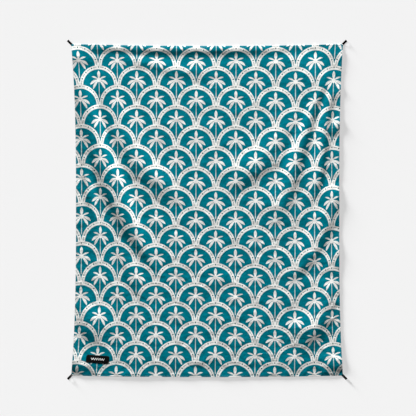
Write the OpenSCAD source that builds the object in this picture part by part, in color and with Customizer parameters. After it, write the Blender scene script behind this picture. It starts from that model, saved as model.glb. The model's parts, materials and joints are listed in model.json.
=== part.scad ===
// Camp blanket laid flat on the ground, in millimetres.
// X runs across the width, Y along the length towards the head edge, and Z is up.
// The origin is on the ground under the middle of the blanket.
//
// It is made as a bag: the printed face cloth and the coated backing are seamed together
// inside out over the wadding, turned, and topstitched all round, so the turned-in seam
// allowances fill a flat rim. A flat tape loop is caught in the seam at each corner.

/* [Blanket] */
// Width from corner to corner as it lies
blanket_w = 1500; // [1200:10:1800]
// Length from corner to corner as it lies
blanket_l = 1830; // [1500:10:2200]
// Radius of each turned corner
corner_r = 5; // [4:0.5:6]
// Width of the flat stitched rim
rim_w = 12; // [11:1:20]
// Height of the stitched rim above the ground
rim_h = 2.6; // [2.4:0.1:2.8]

/* [Layers] */
// Thickness of the coated backing
backing_t = 0.6; // [0.5:0.1:0.8]
// Thickness of the wadding
padding_t = 2.4; // [2.2:0.1:6]
// Thickness of the printed face cloth
face_t = 1; // [0.8:0.1:1.5]

/* [Stitching] */
// Width of a row of stitches
stitch_w = 0.6; // [0.4:0.1:0.8]
// Height of a row of stitches
stitch_t = 0.25; // [0.2:0.05:0.3]
// Distance from the edge to the topstitching
topstitch_in = 7; // [6:0.5:9]
// Distance from the edge to the hidden seam
seam_in = 1.5; // [1.2:0.1:2]

/* [Stake loops] */
// Width of the loop tape
tape_w = 12; // [6:1:12]
// Thickness of the loop tape
tape_t = 1; // [0.8:0.1:1]
// Length of a loop beyond the blanket's corner
loop_l = 28; // [26:1:40]
// Height of the gap between the two layers of a loop
eye_gap = 4.8; // [4.4:0.2:6]
// Length of the tape ends sewn into the corner
tail_l = 14; // [12:1:16]
// Length of a bar tack, across the tape
tack_l = 11; // [6:0.5:11]

/* [Label patch] */
// Length of the patch
label_l = 135; // [80:5:160]
// Width of the patch
label_w = 44; // [25:1:50]
// Thickness of the patch
label_t = 0.8; // [0.6:0.1:1.2]
// Distance from the left edge to the middle of the patch
label_from_left = 147; // [120:1:400]
// Distance from the foot edge to the middle of the patch
label_from_foot = 91; // [60:1:400]
// Clockwise tilt of the patch, in degrees
label_tilt = 3.5; // [0:0.5:10]

/* [Hidden] */
$fn = 48;

LEFT = -1;
RIGHT = 1;
FOOT = -1;
HEAD = 1;

face_color = [0.04, 0.47, 0.53];
padding_color = [0.93, 0.92, 0.88];
backing_color = [0.07, 0.10, 0.12];
tape_color = [0.05, 0.05, 0.05];
needle_color = [0.03, 0.38, 0.44];
bobbin_color = [0.10, 0.10, 0.11];
tack_color = [0.14, 0.14, 0.15];
seam_color = [0.80, 0.80, 0.76];

// Heights of the layers
padding_top = backing_t + padding_t;
field_h = padding_top + face_t;
padding_in = rim_w + face_t;
least_r = 1;

// The tape ends lie pressed between the cloths, and the loop turns on an axis just outside
hinge_out = 1.3;
hinge_z = 1.2;
tail_t = 1.2;
tail_bevel = 1;
knuckle_r = tape_t;
hinge_gap = 0.3;

// The side view of a loop: s is measured outwards from the blanket's corner
lift_s = 4.8;
eye_s = 10;
eye_h = eye_gap + 2 * tape_t;
bight_s = loop_l - eye_h / 2;
lift_slope = atan2(eye_h - hinge_z - knuckle_r, eye_s - lift_s);
inner_drop = tape_t / cos(lift_slope);

// Bar tacks and the rows of stitches on the label
tack_s = -6.5;
tack_w = 1.6;
tack_t = 0.4;
label_r = 12;
label_stitch_in = 3;
bobbin_clear = 0.05;

// A rectangle with true round corners, centred on the origin
module rounded_rect(w, l, r) {
    square([w - 2 * r, l], center = true);
    square([w, l - 2 * r], center = true);
    for (x = [-1, 1], y = [-1, 1])
        translate([x * (w / 2 - r), y * (l / 2 - r)])
            circle(r);
}

// The blanket's outline, taken in by a distance
module outline(inset) {
    rounded_rect(blanket_w - 2 * inset, blanket_l - 2 * inset, max(corner_r - inset, least_r));
}

// A layer of the blanket between two heights, its edge taken in by a distance
module layer(inset, z_low, z_high) {
    translate([0, 0, z_low])
        linear_extrude(height = z_high - z_low)
            outline(inset);
}

// A band that runs all round the blanket, between two distances from the edge
module band(inset_out, inset_in, z_low, z_high) {
    translate([0, 0, z_low])
        linear_extrude(height = z_high - z_low)
            difference() {
                outline(inset_out);
                outline(inset_in);
            }
}

// A row of stitches all round, at a distance from the edge
module stitch_row(inset, z_low, height) {
    band(inset - stitch_w / 2, inset + stitch_w / 2, z_low, z_low + height);
}

// Turns its children to face outwards along the diagonal of one corner
module at_corner(side, end) {
    translate([side * blanket_w / 2, end * blanket_l / 2, 0])
        rotate([0, 0, atan2(end, side)])
            children();
}

// Extrudes a side view to the width of the tape, on edge along the diagonal
module tape_strip() {
    rotate([90, 0, 0])
        linear_extrude(height = tape_w, center = true)
            children();
}

// The two tape ends pressed flat between the cloths of one corner.
// The outer end is bevelled, where the tape bends back as the loop folds up.
module tail_block() {
    tail_end = hinge_out - knuckle_r - hinge_gap;
    tape_strip()
        polygon([
            [-tail_l, backing_t],
            [tail_end, backing_t],
            [tail_end, backing_t + tail_t - tail_bevel],
            [tail_end - tail_bevel, backing_t + tail_t],
            [-tail_l, backing_t + tail_t]
        ]);
}

// Side view of a loop: two layers that leave the seam together, open, and meet in a round bight
module loop_profile() {
    difference() {
        union() {
            translate([hinge_out, hinge_z])
                circle(knuckle_r);
            polygon([
                [hinge_out, hinge_z - knuckle_r],
                [lift_s, 0],
                [bight_s, 0],
                [bight_s, eye_h],
                [eye_s, eye_h],
                [lift_s, hinge_z + knuckle_r],
                [hinge_out, hinge_z + knuckle_r]
            ]);
            translate([bight_s, eye_h / 2])
                circle(eye_h / 2);
        }
        polygon([
            [lift_s + (tape_t + inner_drop - hinge_z - knuckle_r) / tan(lift_slope), tape_t],
            [bight_s, tape_t],
            [bight_s, eye_h - tape_t],
            [eye_s + (inner_drop - tape_t) / tan(lift_slope), eye_h - tape_t]
        ]);
        translate([bight_s, eye_h / 2])
            circle(eye_gap / 2);
    }
}

// The printed face: a shallow lid over the wadding, with its seam allowances turned in
module face_fabric() {
    color(face_color)
        difference() {
            union() {
                band(0, padding_in, backing_t, rim_h);
                layer(rim_w, backing_t, field_h);
            }
            layer(padding_in, backing_t, padding_top);
            stitch_row(seam_in, backing_t, stitch_t);
            for (side = [LEFT, RIGHT], end = [FOOT, HEAD])
                at_corner(side, end)
                    tail_block();
        }
}

// The thin wadding, which stops short of the stitched rim
module padding() {
    color(padding_color)
        layer(padding_in, backing_t, padding_top);
}

// The coated backing, with the line that the bobbin thread sinks into
module backing_fabric() {
    color(backing_color)
        difference() {
            layer(0, 0, backing_t);
            stitch_row(topstitch_in, 0, stitch_t);
        }
}

// The hidden seam that joins face and backing and catches the tape ends
module construction_seam() {
    color(seam_color)
        stitch_row(seam_in, backing_t, stitch_t);
}

// The topstitching's needle thread, which lies on the face
module edge_needle_thread() {
    color(needle_color)
        stitch_row(topstitch_in, rim_h, stitch_t);
}

// The topstitching's bobbin thread, sunk into the backing
module edge_bobbin_thread() {
    color(bobbin_color)
        stitch_row(topstitch_in, bobbin_clear, stitch_t - bobbin_clear);
}

// Places its children on the face where the label patch is sewn
module at_label() {
    translate([label_from_left - blanket_w / 2, label_from_foot - blanket_l / 2, field_h])
        rotate([0, 0, -label_tilt])
            children();
}

// The woven label patch
module label_patch() {
    color(tape_color)
        at_label()
            linear_extrude(height = label_t)
                rounded_rect(label_l, label_w, label_r);
}

// The row of stitches that holds the patch
module label_stitching() {
    run_l = label_l - 2 * label_stitch_in;
    run_w = label_w - 2 * label_stitch_in;
    run_r = label_r - label_stitch_in;
    color(tack_color)
        at_label()
            translate([0, 0, label_t])
                linear_extrude(height = stitch_t)
                    difference() {
                        rounded_rect(run_l, run_w, run_r);
                        rounded_rect(run_l - 2 * stitch_w, run_w - 2 * stitch_w, run_r - stitch_w);
                    }
}

// A stake loop, which turns up from the ground on its axis at the corner seam
module stake_loop(side, end) {
    color(tape_color)
        at_corner(side, end)
            tape_strip()
                loop_profile();
}

// The sewn-in ends of a stake loop's tape, pierced by the hidden seam
module loop_tail(side, end) {
    color(tape_color)
        difference() {
            at_corner(side, end)
                tail_block();
            stitch_row(seam_in, backing_t, stitch_t);
        }
}

// The dense bar of stitches across a tape end, on the face
module bar_tack(side, end) {
    color(tack_color)
        at_corner(side, end)
            translate([tack_s - tack_w / 2, -tack_l / 2, rim_h])
                cube([tack_w, tack_l, tack_t]);
}

face_fabric();
padding();
backing_fabric();
construction_seam();
edge_needle_thread();
edge_bobbin_thread();
label_patch();
label_stitching();
stake_loop(LEFT, HEAD);  // stake_loop_head_left
stake_loop(RIGHT, HEAD);  // stake_loop_head_right
stake_loop(LEFT, FOOT);  // stake_loop_foot_left
stake_loop(RIGHT, FOOT);  // stake_loop_foot_right
loop_tail(LEFT, HEAD);  // loop_tail_head_left
loop_tail(RIGHT, HEAD);  // loop_tail_head_right
loop_tail(LEFT, FOOT);  // loop_tail_foot_left
loop_tail(RIGHT, FOOT);  // loop_tail_foot_right
bar_tack(LEFT, HEAD);  // bar_tack_head_left
bar_tack(RIGHT, HEAD);  // bar_tack_head_right
bar_tack(LEFT, FOOT);  // bar_tack_foot_left
bar_tack(RIGHT, FOOT);  // bar_tack_foot_right
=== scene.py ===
"""A camp blanket laid out on a pale floor: printed face, wadding, coated backing and stake loops.

Lengths are in metres. X runs across the blanket, Y towards its head edge and Z upwards.
"""

import json
import logging
import math
from dataclasses import dataclass
from enum import Enum

import bmesh
import bpy
import numpy as np
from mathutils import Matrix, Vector

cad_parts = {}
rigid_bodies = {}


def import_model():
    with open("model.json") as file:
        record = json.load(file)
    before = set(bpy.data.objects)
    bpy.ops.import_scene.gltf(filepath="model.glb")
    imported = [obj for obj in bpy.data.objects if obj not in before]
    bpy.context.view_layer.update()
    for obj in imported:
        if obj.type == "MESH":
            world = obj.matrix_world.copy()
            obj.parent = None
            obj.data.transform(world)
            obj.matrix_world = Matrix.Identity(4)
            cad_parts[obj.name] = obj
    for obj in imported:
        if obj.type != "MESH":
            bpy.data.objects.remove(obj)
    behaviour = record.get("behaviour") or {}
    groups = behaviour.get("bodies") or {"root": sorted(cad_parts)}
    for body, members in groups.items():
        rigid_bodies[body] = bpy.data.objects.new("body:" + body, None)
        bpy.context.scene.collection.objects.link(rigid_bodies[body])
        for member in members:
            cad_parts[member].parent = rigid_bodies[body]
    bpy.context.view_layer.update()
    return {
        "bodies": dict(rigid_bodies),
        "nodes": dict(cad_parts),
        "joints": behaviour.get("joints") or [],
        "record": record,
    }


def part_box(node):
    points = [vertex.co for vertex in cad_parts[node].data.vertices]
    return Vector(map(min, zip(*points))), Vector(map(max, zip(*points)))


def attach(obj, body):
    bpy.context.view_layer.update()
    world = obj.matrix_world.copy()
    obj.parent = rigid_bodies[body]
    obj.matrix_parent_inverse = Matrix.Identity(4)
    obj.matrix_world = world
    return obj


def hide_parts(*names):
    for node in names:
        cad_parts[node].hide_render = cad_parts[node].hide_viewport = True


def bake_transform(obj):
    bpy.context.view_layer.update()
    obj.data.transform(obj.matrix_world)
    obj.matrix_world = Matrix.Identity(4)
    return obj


log = logging.getLogger("camp_blanket")

MM = 0.001
BLANKET_BODY = "blanket"
PRINT_MAP = "print"

Grid = np.ndarray
Socket = bpy.types.NodeSocket


class Corner(Enum):
    """The blanket's corners, as the signs of X and Y."""

    HEAD_LEFT = (-1, 1)
    HEAD_RIGHT = (1, 1)
    FOOT_LEFT = (-1, -1)
    FOOT_RIGHT = (1, -1)

    @property
    def label(self) -> str:
        """The corner's name as the frame's nodes spell it."""
        return self.name.lower()


# ---------------------------------------------------------------- smooth curves and surfaces


def catmull_rom(points: np.ndarray, per_span: int) -> np.ndarray:
    """Runs a smooth curve through points.

    Args:
        points: One row for each point.
        per_span: Number of samples from one point to the next.

    Returns:
        The curve's samples, ending with the last point.
    """
    ends = np.vstack([2 * points[0] - points[1], points, 2 * points[-1] - points[-2]])
    rows = []
    for i in range(1, len(ends) - 2):
        p0, p1, p2, p3 = ends[i - 1:i + 3]
        t = np.linspace(0, 1, per_span, endpoint=False)[:, None]
        rows.append(0.5 * (2 * p1 + (p2 - p0) * t + (2 * p0 - 5 * p1 + 4 * p2 - p3) * t**2
                           + (3 * p1 - p0 - 3 * p2 + p3) * t**3))
    return np.vstack(rows + [points[-1][None]])


def smoothstep(low: float, high: float, value: Grid) -> Grid:
    """Rises from 0 at low to 1 at high, level at both ends."""
    t = np.clip((value - low) / (high - low), 0, 1)
    return t * t * (3 - 2 * t)


def edge_roll(distance: Grid, radius: float) -> Grid:
    """Gives the quarter circle that an edge rolls through, from 0 at the edge to 1 inside."""
    return np.sqrt(np.maximum(1 - np.maximum(1 - distance / radius, 0)**2, 0))


def groove(distance: Grid, middle: float, width: float) -> Grid:
    """Gives the shape of a groove along an edge, 1 at its middle and 0 far from it."""
    return np.exp(-((distance - middle) / width)**2)


def grid_lines(half: float, fine: np.ndarray, spacing: float) -> np.ndarray:
    """Places grid lines across a cloth, close together near its edges.

    Args:
        half: Half of the cloth's width.
        fine: Distances from an edge to the lines nearest to it.
        spacing: About how far apart the other lines are.

    Returns:
        The lines' places from the cloth's middle.
    """
    inner = half - fine[-1]
    middle = np.linspace(-inner, inner, round(2 * inner / spacing) + 1)[1:-1]
    return np.concatenate([-half + fine, middle, (half - fine)[::-1]])


def round_corners(x: Grid, y: Grid, half_x: float, half_y: float,
                  radius: float) -> tuple[Grid, Grid]:
    """Draws the square corners of a cloth in to their radius.

    Args:
        x: Places across the cloth.
        y: Places along it.
        half_x: Half of the cloth's width.
        half_y: Half of its length.
        radius: Radius of its corners.

    Returns:
        The places with round corners.
    """
    in_x = np.maximum(np.abs(x) - (half_x - radius), 0)
    in_y = np.maximum(np.abs(y) - (half_y - radius), 0)
    reach = np.hypot(in_x, in_y)
    keep = np.where(reach > 0, np.maximum(in_x, in_y) / np.maximum(reach, 1e-9), 1)
    return x - np.sign(x) * in_x * (1 - keep), y - np.sign(y) * in_y * (1 - keep)


def spline_weights(t: Grid) -> tuple[list[Grid], list[Grid]]:
    """Gives the four uniform cubic B-spline weights at t, and their slopes."""
    value = [(1 - t)**3 / 6, (3 * t**3 - 6 * t**2 + 4) / 6,
             (-3 * t**3 + 3 * t**2 + 3 * t + 1) / 6, t**3 / 6]
    slope = [-(1 - t)**2 / 2, (3 * t**2 - 4 * t) / 2, (-3 * t**2 + 2 * t + 1) / 2, t**2 / 2]
    return value, slope


class SplineSheet:
    """A smooth sheet over a regular net of control values, read with u and v from 0 to 1."""

    def __init__(self, net: Grid) -> None:
        """Pads the net so that the sheet reaches its own border.

        Args:
            net: Control values, in rows along v and columns along u, with one or more channels.
        """
        net = np.concatenate([2 * net[:1] - net[1:2], net, 2 * net[-1:] - net[-2:-1]], axis=0)
        self.net = np.concatenate(
            [2 * net[:, :1] - net[:, 1:2], net, 2 * net[:, -1:] - net[:, -2:-1]], axis=1)
        self.rows = net.shape[0] - 2
        self.columns = self.net.shape[1] - 2

    def read(self, u: Grid, v: Grid) -> tuple[Grid, Grid, Grid]:
        """Reads the sheet at many places at once.

        Args:
            u: Places across, from 0 to 1.
            v: Places along, from 0 to 1.

        Returns:
            The values, and their slopes along u and along v.
        """
        x = np.clip(u, 0, 1) * (self.columns - 1)
        y = np.clip(v, 0, 1) * (self.rows - 1)
        i = np.minimum(x.astype(int), self.columns - 2)
        j = np.minimum(y.astype(int), self.rows - 2)
        across, across_slope = spline_weights(x - i)
        along, along_slope = spline_weights(y - j)
        shape = u.shape + self.net.shape[2:]
        value, du, dv = np.zeros(shape), np.zeros(shape), np.zeros(shape)
        for b in range(4):
            for a in range(4):
                control = self.net[j + b, i + a]
                value += (along[b] * across[a])[..., None] * control
                du += (along[b] * across_slope[a])[..., None] * control
                dv += (along_slope[b] * across[a])[..., None] * control
        return value, du, dv


@dataclass(frozen=True)
class SoftNoise:
    """Smooth bumps of about the same size all over a square.

    Attributes:
        spacing: Distance between the bumps.
        seed: Seed of the bumps' heights.
        reach: Half of the square's side that they fill, about the origin.
        swing: Greatest height that is drawn, which the smoothing lowers to about 1.
    """

    spacing: float
    seed: int
    reach: float = 1.2
    swing: float = 1.8

    def read(self, x: Grid, y: Grid) -> Grid:
        """Gives heights between about -1 and 1 at places within reach of the origin."""
        count = int(2 * self.reach / self.spacing) + 2
        draws = np.random.default_rng(self.seed)
        sheet = SplineSheet(draws.uniform(-self.swing, self.swing, (count, count, 1)))
        return sheet.read(x / (2 * self.reach) + 0.5, y / (2 * self.reach) + 0.5)[0][..., 0]


# ---------------------------------------------------------------- the blanket's sizes


@dataclass(frozen=True)
class Layout:
    """The blanket's sizes, read from the frame.

    Attributes:
        width: From corner to corner across, as it lies.
        length: From corner to corner along, as it lies.
        backing_t: Thickness of the coated backing.
        rim_h: Height of the stitched rim.
        field_h: Height of the blanket inside its rim.
        face_t: Thickness of the printed face.
        rim_w: Width of the flat rim, up to the wadding.
        topstitch_in: Distance from the edge to the topstitching.
        seam_in: Distance from the edge to the hidden seam.
        corner_r: Radius of each turned corner.
        cut_w: Width of the finished cloth before it was laid out.
        cut_l: Length of the finished cloth before it was laid out.
    """

    width: float
    length: float
    backing_t: float
    rim_h: float
    field_h: float
    face_t: float
    rim_w: float
    topstitch_in: float
    seam_in: float
    corner_r: float = 5 * MM
    cut_w: float = 1.524
    cut_l: float = 1.829

    @classmethod
    def from_frame(cls) -> "Layout":
        """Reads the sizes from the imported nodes' boxes."""
        stitch_half = 0.3 * MM
        face_low, face_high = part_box("face_fabric")
        pad_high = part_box("padding")[1]
        needle_low, needle_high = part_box("edge_needle_thread")
        seam_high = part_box("construction_seam")[1]
        return cls(
            width=face_high[0] - face_low[0],
            length=face_high[1] - face_low[1],
            backing_t=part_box("backing_fabric")[1][2],
            rim_h=needle_low[2],
            field_h=face_high[2],
            face_t=face_high[2] - pad_high[2],
            rim_w=face_high[0] - pad_high[0],
            topstitch_in=face_high[0] - needle_high[0] + stitch_half,
            seam_in=face_high[0] - seam_high[0] + stitch_half,
        )


# ---------------------------------------------------------------- how the cloth lies


@dataclass(frozen=True)
class Fold:
    """A soft ridge that runs through the laid cloth.

    Attributes:
        path: Points along its crest.
        height: Height of the crest above the ground.
        left: Distance from the crest at which its left side has sunk to about a third.
        right: The same on its right side.
        rise: Share of its length over which it comes up from the ground.
    """

    path: tuple[tuple[float, float], ...]
    height: float
    left: float
    right: float
    rise: float = 0.14

    def heights(self, x: Grid, y: Grid) -> Grid:
        """Gives the ridge's height over places on the ground."""
        steps_per_point = 16
        crest = catmull_rom(np.array(self.path), steps_per_point)
        heading = np.gradient(crest, axis=0)
        nearest = np.full(x.shape, np.inf)
        along = np.zeros(x.shape)
        on_left = np.zeros(x.shape, dtype=bool)
        for (cx, cy), (hx, hy), s in zip(crest, heading, np.linspace(0, 1, len(crest))):
            gap = (x - cx)**2 + (y - cy)**2
            closer = gap < nearest
            nearest = np.where(closer, gap, nearest)
            along = np.where(closer, s, along)
            on_left = np.where(closer, hx * (y - cy) - hy * (x - cx) > 0, on_left)
        end_fade = 0.4
        swell = smoothstep(-0.05, self.rise, along) * smoothstep(-0.02, end_fade, 1 - along)
        spread = np.where(on_left, self.left, self.right)
        return self.height * swell * np.exp(-nearest / spread**2)


@dataclass(frozen=True)
class Sag:
    """A stretch of the cloth that was dragged towards the foot edge.

    Attributes:
        place: Its middle.
        distance: How far the cloth moved there.
        across: Distance across the blanket at which that has sunk to about a third.
        along: The same along it.
    """

    place: tuple[float, float]
    distance: float
    across: float
    along: float

    def shift(self, x: Grid, y: Grid) -> Grid:
        """Gives how far the cloth moved, over places on the ground."""
        return self.distance * np.exp(-((x - self.place[0]) / self.across)**2
                                      - ((y - self.place[1]) / self.along)**2)


SAGS = (
    Sag((0.01, 0.07), 20 * MM, 0.34, 0.36),
    Sag((0.50, 0.34), 18 * MM, 0.24, 0.36),
    Sag((0.60, -0.35), 30 * MM, 0.26, 0.40),
    Sag((0.36, -0.66), 18 * MM, 0.20, 0.22),
    Sag((0.48, 0.75), 8 * MM, 0.20, 0.20),
    Sag((-0.60, -0.08), -8 * MM, 0.13, 0.26),
    Sag((-0.58, -0.72), 8 * MM, 0.14, 0.14),
)

FOLDS = (
    # From the head left corner down to the middle
    Fold(((-0.69, 0.80), (-0.665, 0.61), (-0.63, 0.44), (-0.585, 0.285), (-0.53, 0.175),
          (-0.46, -0.01), (-0.40, -0.14), (-0.315, -0.29), (-0.23, -0.415)),
         16 * MM, 0.055, 0.075),
    Fold(((-0.65, 0.80), (-0.575, 0.65), (-0.49, 0.50), (-0.425, 0.37), (-0.335, 0.25),
          (-0.24, 0.15), (-0.13, 0.09), (0.0, 0.07)), 11 * MM, 0.120, 0.085),
    Fold(((-0.71, 0.60), (-0.68, 0.33), (-0.655, 0.15), (-0.63, 0.0), (-0.61, -0.17)),
         6 * MM, 0.030, 0.026),
    Fold(((-0.52, 0.10), (-0.47, -0.14), (-0.40, -0.36), (-0.34, -0.55)), 7 * MM, 0.060, 0.060),
    # From the head right corner down to the middle
    Fold(((0.665, 0.82), (0.57, 0.69), (0.475, 0.55), (0.375, 0.40), (0.28, 0.28),
          (0.20, 0.20), (0.11, 0.12), (0.0, 0.08)), 12 * MM, 0.080, 0.150),
    Fold(((0.68, 0.77), (0.59, 0.58), (0.535, 0.41), (0.485, 0.25), (0.44, 0.055),
          (0.41, -0.10)), 12 * MM, 0.034, 0.045),
    Fold(((0.70, 0.74), (0.655, 0.50), (0.635, 0.33), (0.61, 0.14), (0.56, 0.0)),
         11 * MM, 0.026, 0.036),
    # From the right edge into the foot half
    Fold(((0.74, 0.15), (0.70, 0.03), (0.65, -0.08), (0.60, -0.18), (0.54, -0.29),
          (0.46, -0.36), (0.36, -0.38)), 10 * MM, 0.060, 0.095),
    # Along and under the head edge
    Fold(((-0.72, 0.899), (-0.3, 0.893), (0.0, 0.890), (0.3, 0.893), (0.72, 0.899)),
         12 * MM, 0.034, 0.032),
    Fold(((-0.64, 0.885), (-0.45, 0.835), (-0.29, 0.80), (-0.16, 0.77), (0.03, 0.76),
          (0.15, 0.77)), 3 * MM, 0.034, 0.034),
    # Wide swells beside the foot corners
    Fold(((-0.72, -0.02), (-0.69, -0.38), (-0.63, -0.64), (-0.56, -0.84)), 11 * MM, 0.170, 0.090,
         rise=0.6),
    Fold(((0.71, -0.16), (0.66, -0.44), (0.58, -0.66), (0.50, -0.82)), 12 * MM, 0.090, 0.170,
         rise=0.4),
    # Short creases at the side edges
    Fold(((0.75, 0.68), (0.71, 0.64), (0.68, 0.58)), 5 * MM, 0.026, 0.026),
    Fold(((0.75, 0.50), (0.71, 0.46), (0.68, 0.40)), 5 * MM, 0.026, 0.026),
    Fold(((0.75, -0.34), (0.72, -0.44), (0.68, -0.56)), 6 * MM, 0.045, 0.050, rise=0.4),
    Fold(((-0.75, -0.40), (-0.72, -0.50), (-0.67, -0.62)), 6 * MM, 0.060, 0.045, rise=0.4),
    # The foot edge, a little off the ground
    Fold(((-0.62, -0.920), (-0.2, -0.926), (0.2, -0.926), (0.62, -0.920)), 3 * MM, 0.040, 0.032),
)


@dataclass
class LaidCloth:
    """Lays a sheet of the blanket's stiffness on the ground and lets its folds settle.

    Attributes:
        layout: The blanket's sizes.
        folds: Ridges that the sheet starts with.
        sags: Stretches that were dragged towards the foot edge.
        step: Distance between the sheet's threads in the simulation.
        frames: Number of frames that it settles for.
        drawn_in: How far the left, right, head and foot edges curve in at their middles.
        gathers_left: Share of the half width over which the left side is gathered in.
        gathers_right: The same on the right side.
        flat_at_head: Distances from a head corner between which the folds come up.
        flat_at_foot: The same at a foot corner.
        held_reach: Size of the patch that is held at each corner.
        clearance: Gap between the sheet and the ground.
        lift_limit: Greatest height of the blanket's underside.
        tension: How strongly the sheet keeps its size.
        bending: How strongly it keeps flat.
        damping: How fast its movement dies down.
        mass: Mass of each point of its net.
        weight: Share of full gravity that acts on it.
        grip: Friction of the ground.
    """

    layout: Layout
    folds: tuple[Fold, ...] = FOLDS
    sags: tuple[Sag, ...] = SAGS
    step: float = 16 * MM
    frames: int = 24
    drawn_in: tuple[float, float, float, float] = (0.027, 0.021, 0.012, -0.008)
    gathers_left: tuple[float, float] = (0.55, 0.92)
    gathers_right: tuple[float, float] = (0.75, 1)
    flat_at_head: tuple[float, float] = (0.03, 0.16)
    flat_at_foot: tuple[float, float] = (0.03, 0.30)
    held_reach: float = 30 * MM
    clearance: float = 1 * MM
    lift_limit: float = 12 * MM
    tension: float = 80.0
    bending: float = 30.0
    damping: float = 10.0
    mass: float = 0.02
    weight: float = 0.3
    grip: float = 40.0

    def laid(self, u: Grid, v: Grid) -> tuple[Grid, Grid]:
        """Gives where the cloth's point u, v, each from -1 to 1, lies on the ground."""
        left, right, head, foot = self.drawn_in
        gathered = np.where(u < 0, left * smoothstep(*self.gathers_left, -u),
                            right * smoothstep(*self.gathers_right, u))
        x = u * self.layout.width / 2 - np.sign(u) * gathered * (1 - np.abs(v)**3)
        end = np.where(v > 0, head, foot)
        near_end = np.abs(v)**6
        y = v * (self.layout.length / 2 - end * near_end * (1 - u**2))
        sagged = sum(sag.shift(x, y) for sag in self.sags)
        return x, y - sagged * (1 - near_end)

    def point_at(self, x: float, y: float) -> tuple[float, float]:
        """Finds the cloth's point that lies at a place on the ground."""
        half_w, half_l = self.layout.width / 2, self.layout.length / 2
        u, v = np.array(x / half_w), np.array(y / half_l)
        tries = 20
        for _ in range(tries):
            lies_x, lies_y = self.laid(u, v)
            u, v = u + (x - lies_x) / half_w, v + (y - lies_y) / half_l
        return float(u), float(v)

    def start_heights(self, x: Grid, y: Grid) -> Grid:
        """Joins the folds into one soft surface that is flat at the corners."""
        sharpness = 3
        total = sum(fold.heights(x, y)**sharpness for fold in self.folds)
        corner = np.hypot(self.layout.width / 2 - np.abs(x), self.layout.length / 2 - np.abs(y))
        low = np.where(y < 0, self.flat_at_foot[0], self.flat_at_head[0])
        high = np.where(y < 0, self.flat_at_foot[1], self.flat_at_head[1])
        return total**(1 / sharpness) * smoothstep(low, high, corner)

    def settle(self) -> SplineSheet:
        """Runs the cloth simulation.

        Returns:
            The settled underside as a smooth sheet over u and v from 0 to 1.
        """
        columns = round(self.layout.cut_w / self.step) + 1
        rows = round(self.layout.cut_l / self.step) + 1
        u, v = np.meshgrid(np.linspace(-1, 1, columns), np.linspace(-1, 1, rows))
        x, y = self.laid(u, v)
        start = np.stack([x, y, self.start_heights(x, y) + self.clearance], axis=-1)
        settled = self._simulate(start, self._rest(u, v))
        settled = settled.copy()
        lift = settled[..., 2] - settled[..., 2].min()
        firmness = 6
        settled[..., 2] = lift / (1 + (lift / self.lift_limit)**firmness)**(1 / firmness)
        log.info("cloth settled, underside up to %.1f mm", settled[..., 2].max() / MM)
        return SplineSheet(settled)

    def _rest(self, u: Grid, v: Grid) -> Grid:
        """Gives the cloth's flat shape, whose edges curve in with the laid ones."""
        x, y = self.laid(u, v)
        spare = self.layout.cut_w / self.layout.width
        return np.stack([x * spare, y, np.zeros_like(x)], axis=-1)

    def _simulate(self, start: Grid, rest: Grid) -> Grid:
        """Lets the sheet settle on a floor with its corners held.

        Args:
            start: Where the net of points starts.
            rest: The same net, flat and without tension.

        Returns:
            Where the points lie at the end.
        """
        rows, columns = start.shape[:2]
        sheet = grid_object("settling_cloth", start)
        sheet.shape_key_add(name="laid")
        flat = sheet.shape_key_add(name="flat")
        flat.data.foreach_set("co", rest.reshape(-1).astype(np.float32))
        flat.value = 0.0
        held = sheet.vertex_groups.new(name="held")
        near = ((self.layout.width / 2 - np.abs(start[..., 0]) < self.held_reach)
                & (self.layout.length / 2 - np.abs(start[..., 1]) < self.held_reach))
        held.add([int(i) for i in np.flatnonzero(near.reshape(-1))], 1.0, "REPLACE")

        ground = ground_square("settling_ground", 2.0)
        ground.modifiers.new("Collision", "COLLISION")
        ground.collision.thickness_outer = self.clearance
        ground.collision.cloth_friction = self.grip

        cloth = sheet.modifiers.new("Cloth", "CLOTH")
        cloth.point_cache.frame_start = 1
        cloth.point_cache.frame_end = self.frames
        cloth.collision_settings.distance_min = self.clearance
        cloth.collision_settings.use_self_collision = False
        stuff = cloth.settings
        stuff.quality = 6
        stuff.mass = self.mass
        stuff.tension_stiffness = self.tension
        stuff.compression_stiffness = self.tension
        stuff.shear_stiffness = self.tension / 3
        stuff.bending_stiffness = self.bending
        stuff.tension_damping = self.damping
        stuff.compression_damping = self.damping
        stuff.shear_damping = self.damping
        stuff.effector_weights.gravity = self.weight
        stuff.vertex_group_mass = held.name
        stuff.rest_shape_key = flat
        scene = bpy.context.scene
        for frame in range(1, self.frames + 1):
            scene.frame_set(frame)
        seen = sheet.evaluated_get(bpy.context.evaluated_depsgraph_get())
        points = np.zeros(rows * columns * 3)
        seen.data.vertices.foreach_get("co", points)
        for used in (sheet, ground):
            mesh = used.data
            bpy.data.objects.remove(used)
            bpy.data.meshes.remove(mesh)
        scene.frame_set(1)
        return points.reshape(rows, columns, 3)


# ---------------------------------------------------------------- meshes


def add_object(name: str, data: bpy.types.ID) -> bpy.types.Object:
    """Puts a mesh, a light or a camera into the scene as an object at the origin."""
    made = bpy.data.objects.new(name, data)
    bpy.context.scene.collection.objects.link(made)
    return made


def grid_faces(rows: int, columns: int) -> np.ndarray:
    """Lists the quads of a net of points, counter-clockwise as seen from +Z."""
    first = (np.arange(rows - 1)[:, None] * columns + np.arange(columns - 1)).reshape(-1)
    return np.stack([first, first + 1, first + columns + 1, first + columns], axis=1)


def grid_object(name: str, net: Grid) -> bpy.types.Object:
    """Makes an open sheet from a net of points."""
    mesh = bpy.data.meshes.new(name)
    rows, columns = net.shape[:2]
    mesh.from_pydata(net.reshape(-1, 3).tolist(), [], grid_faces(rows, columns).tolist())
    return add_object(name, mesh)


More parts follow.
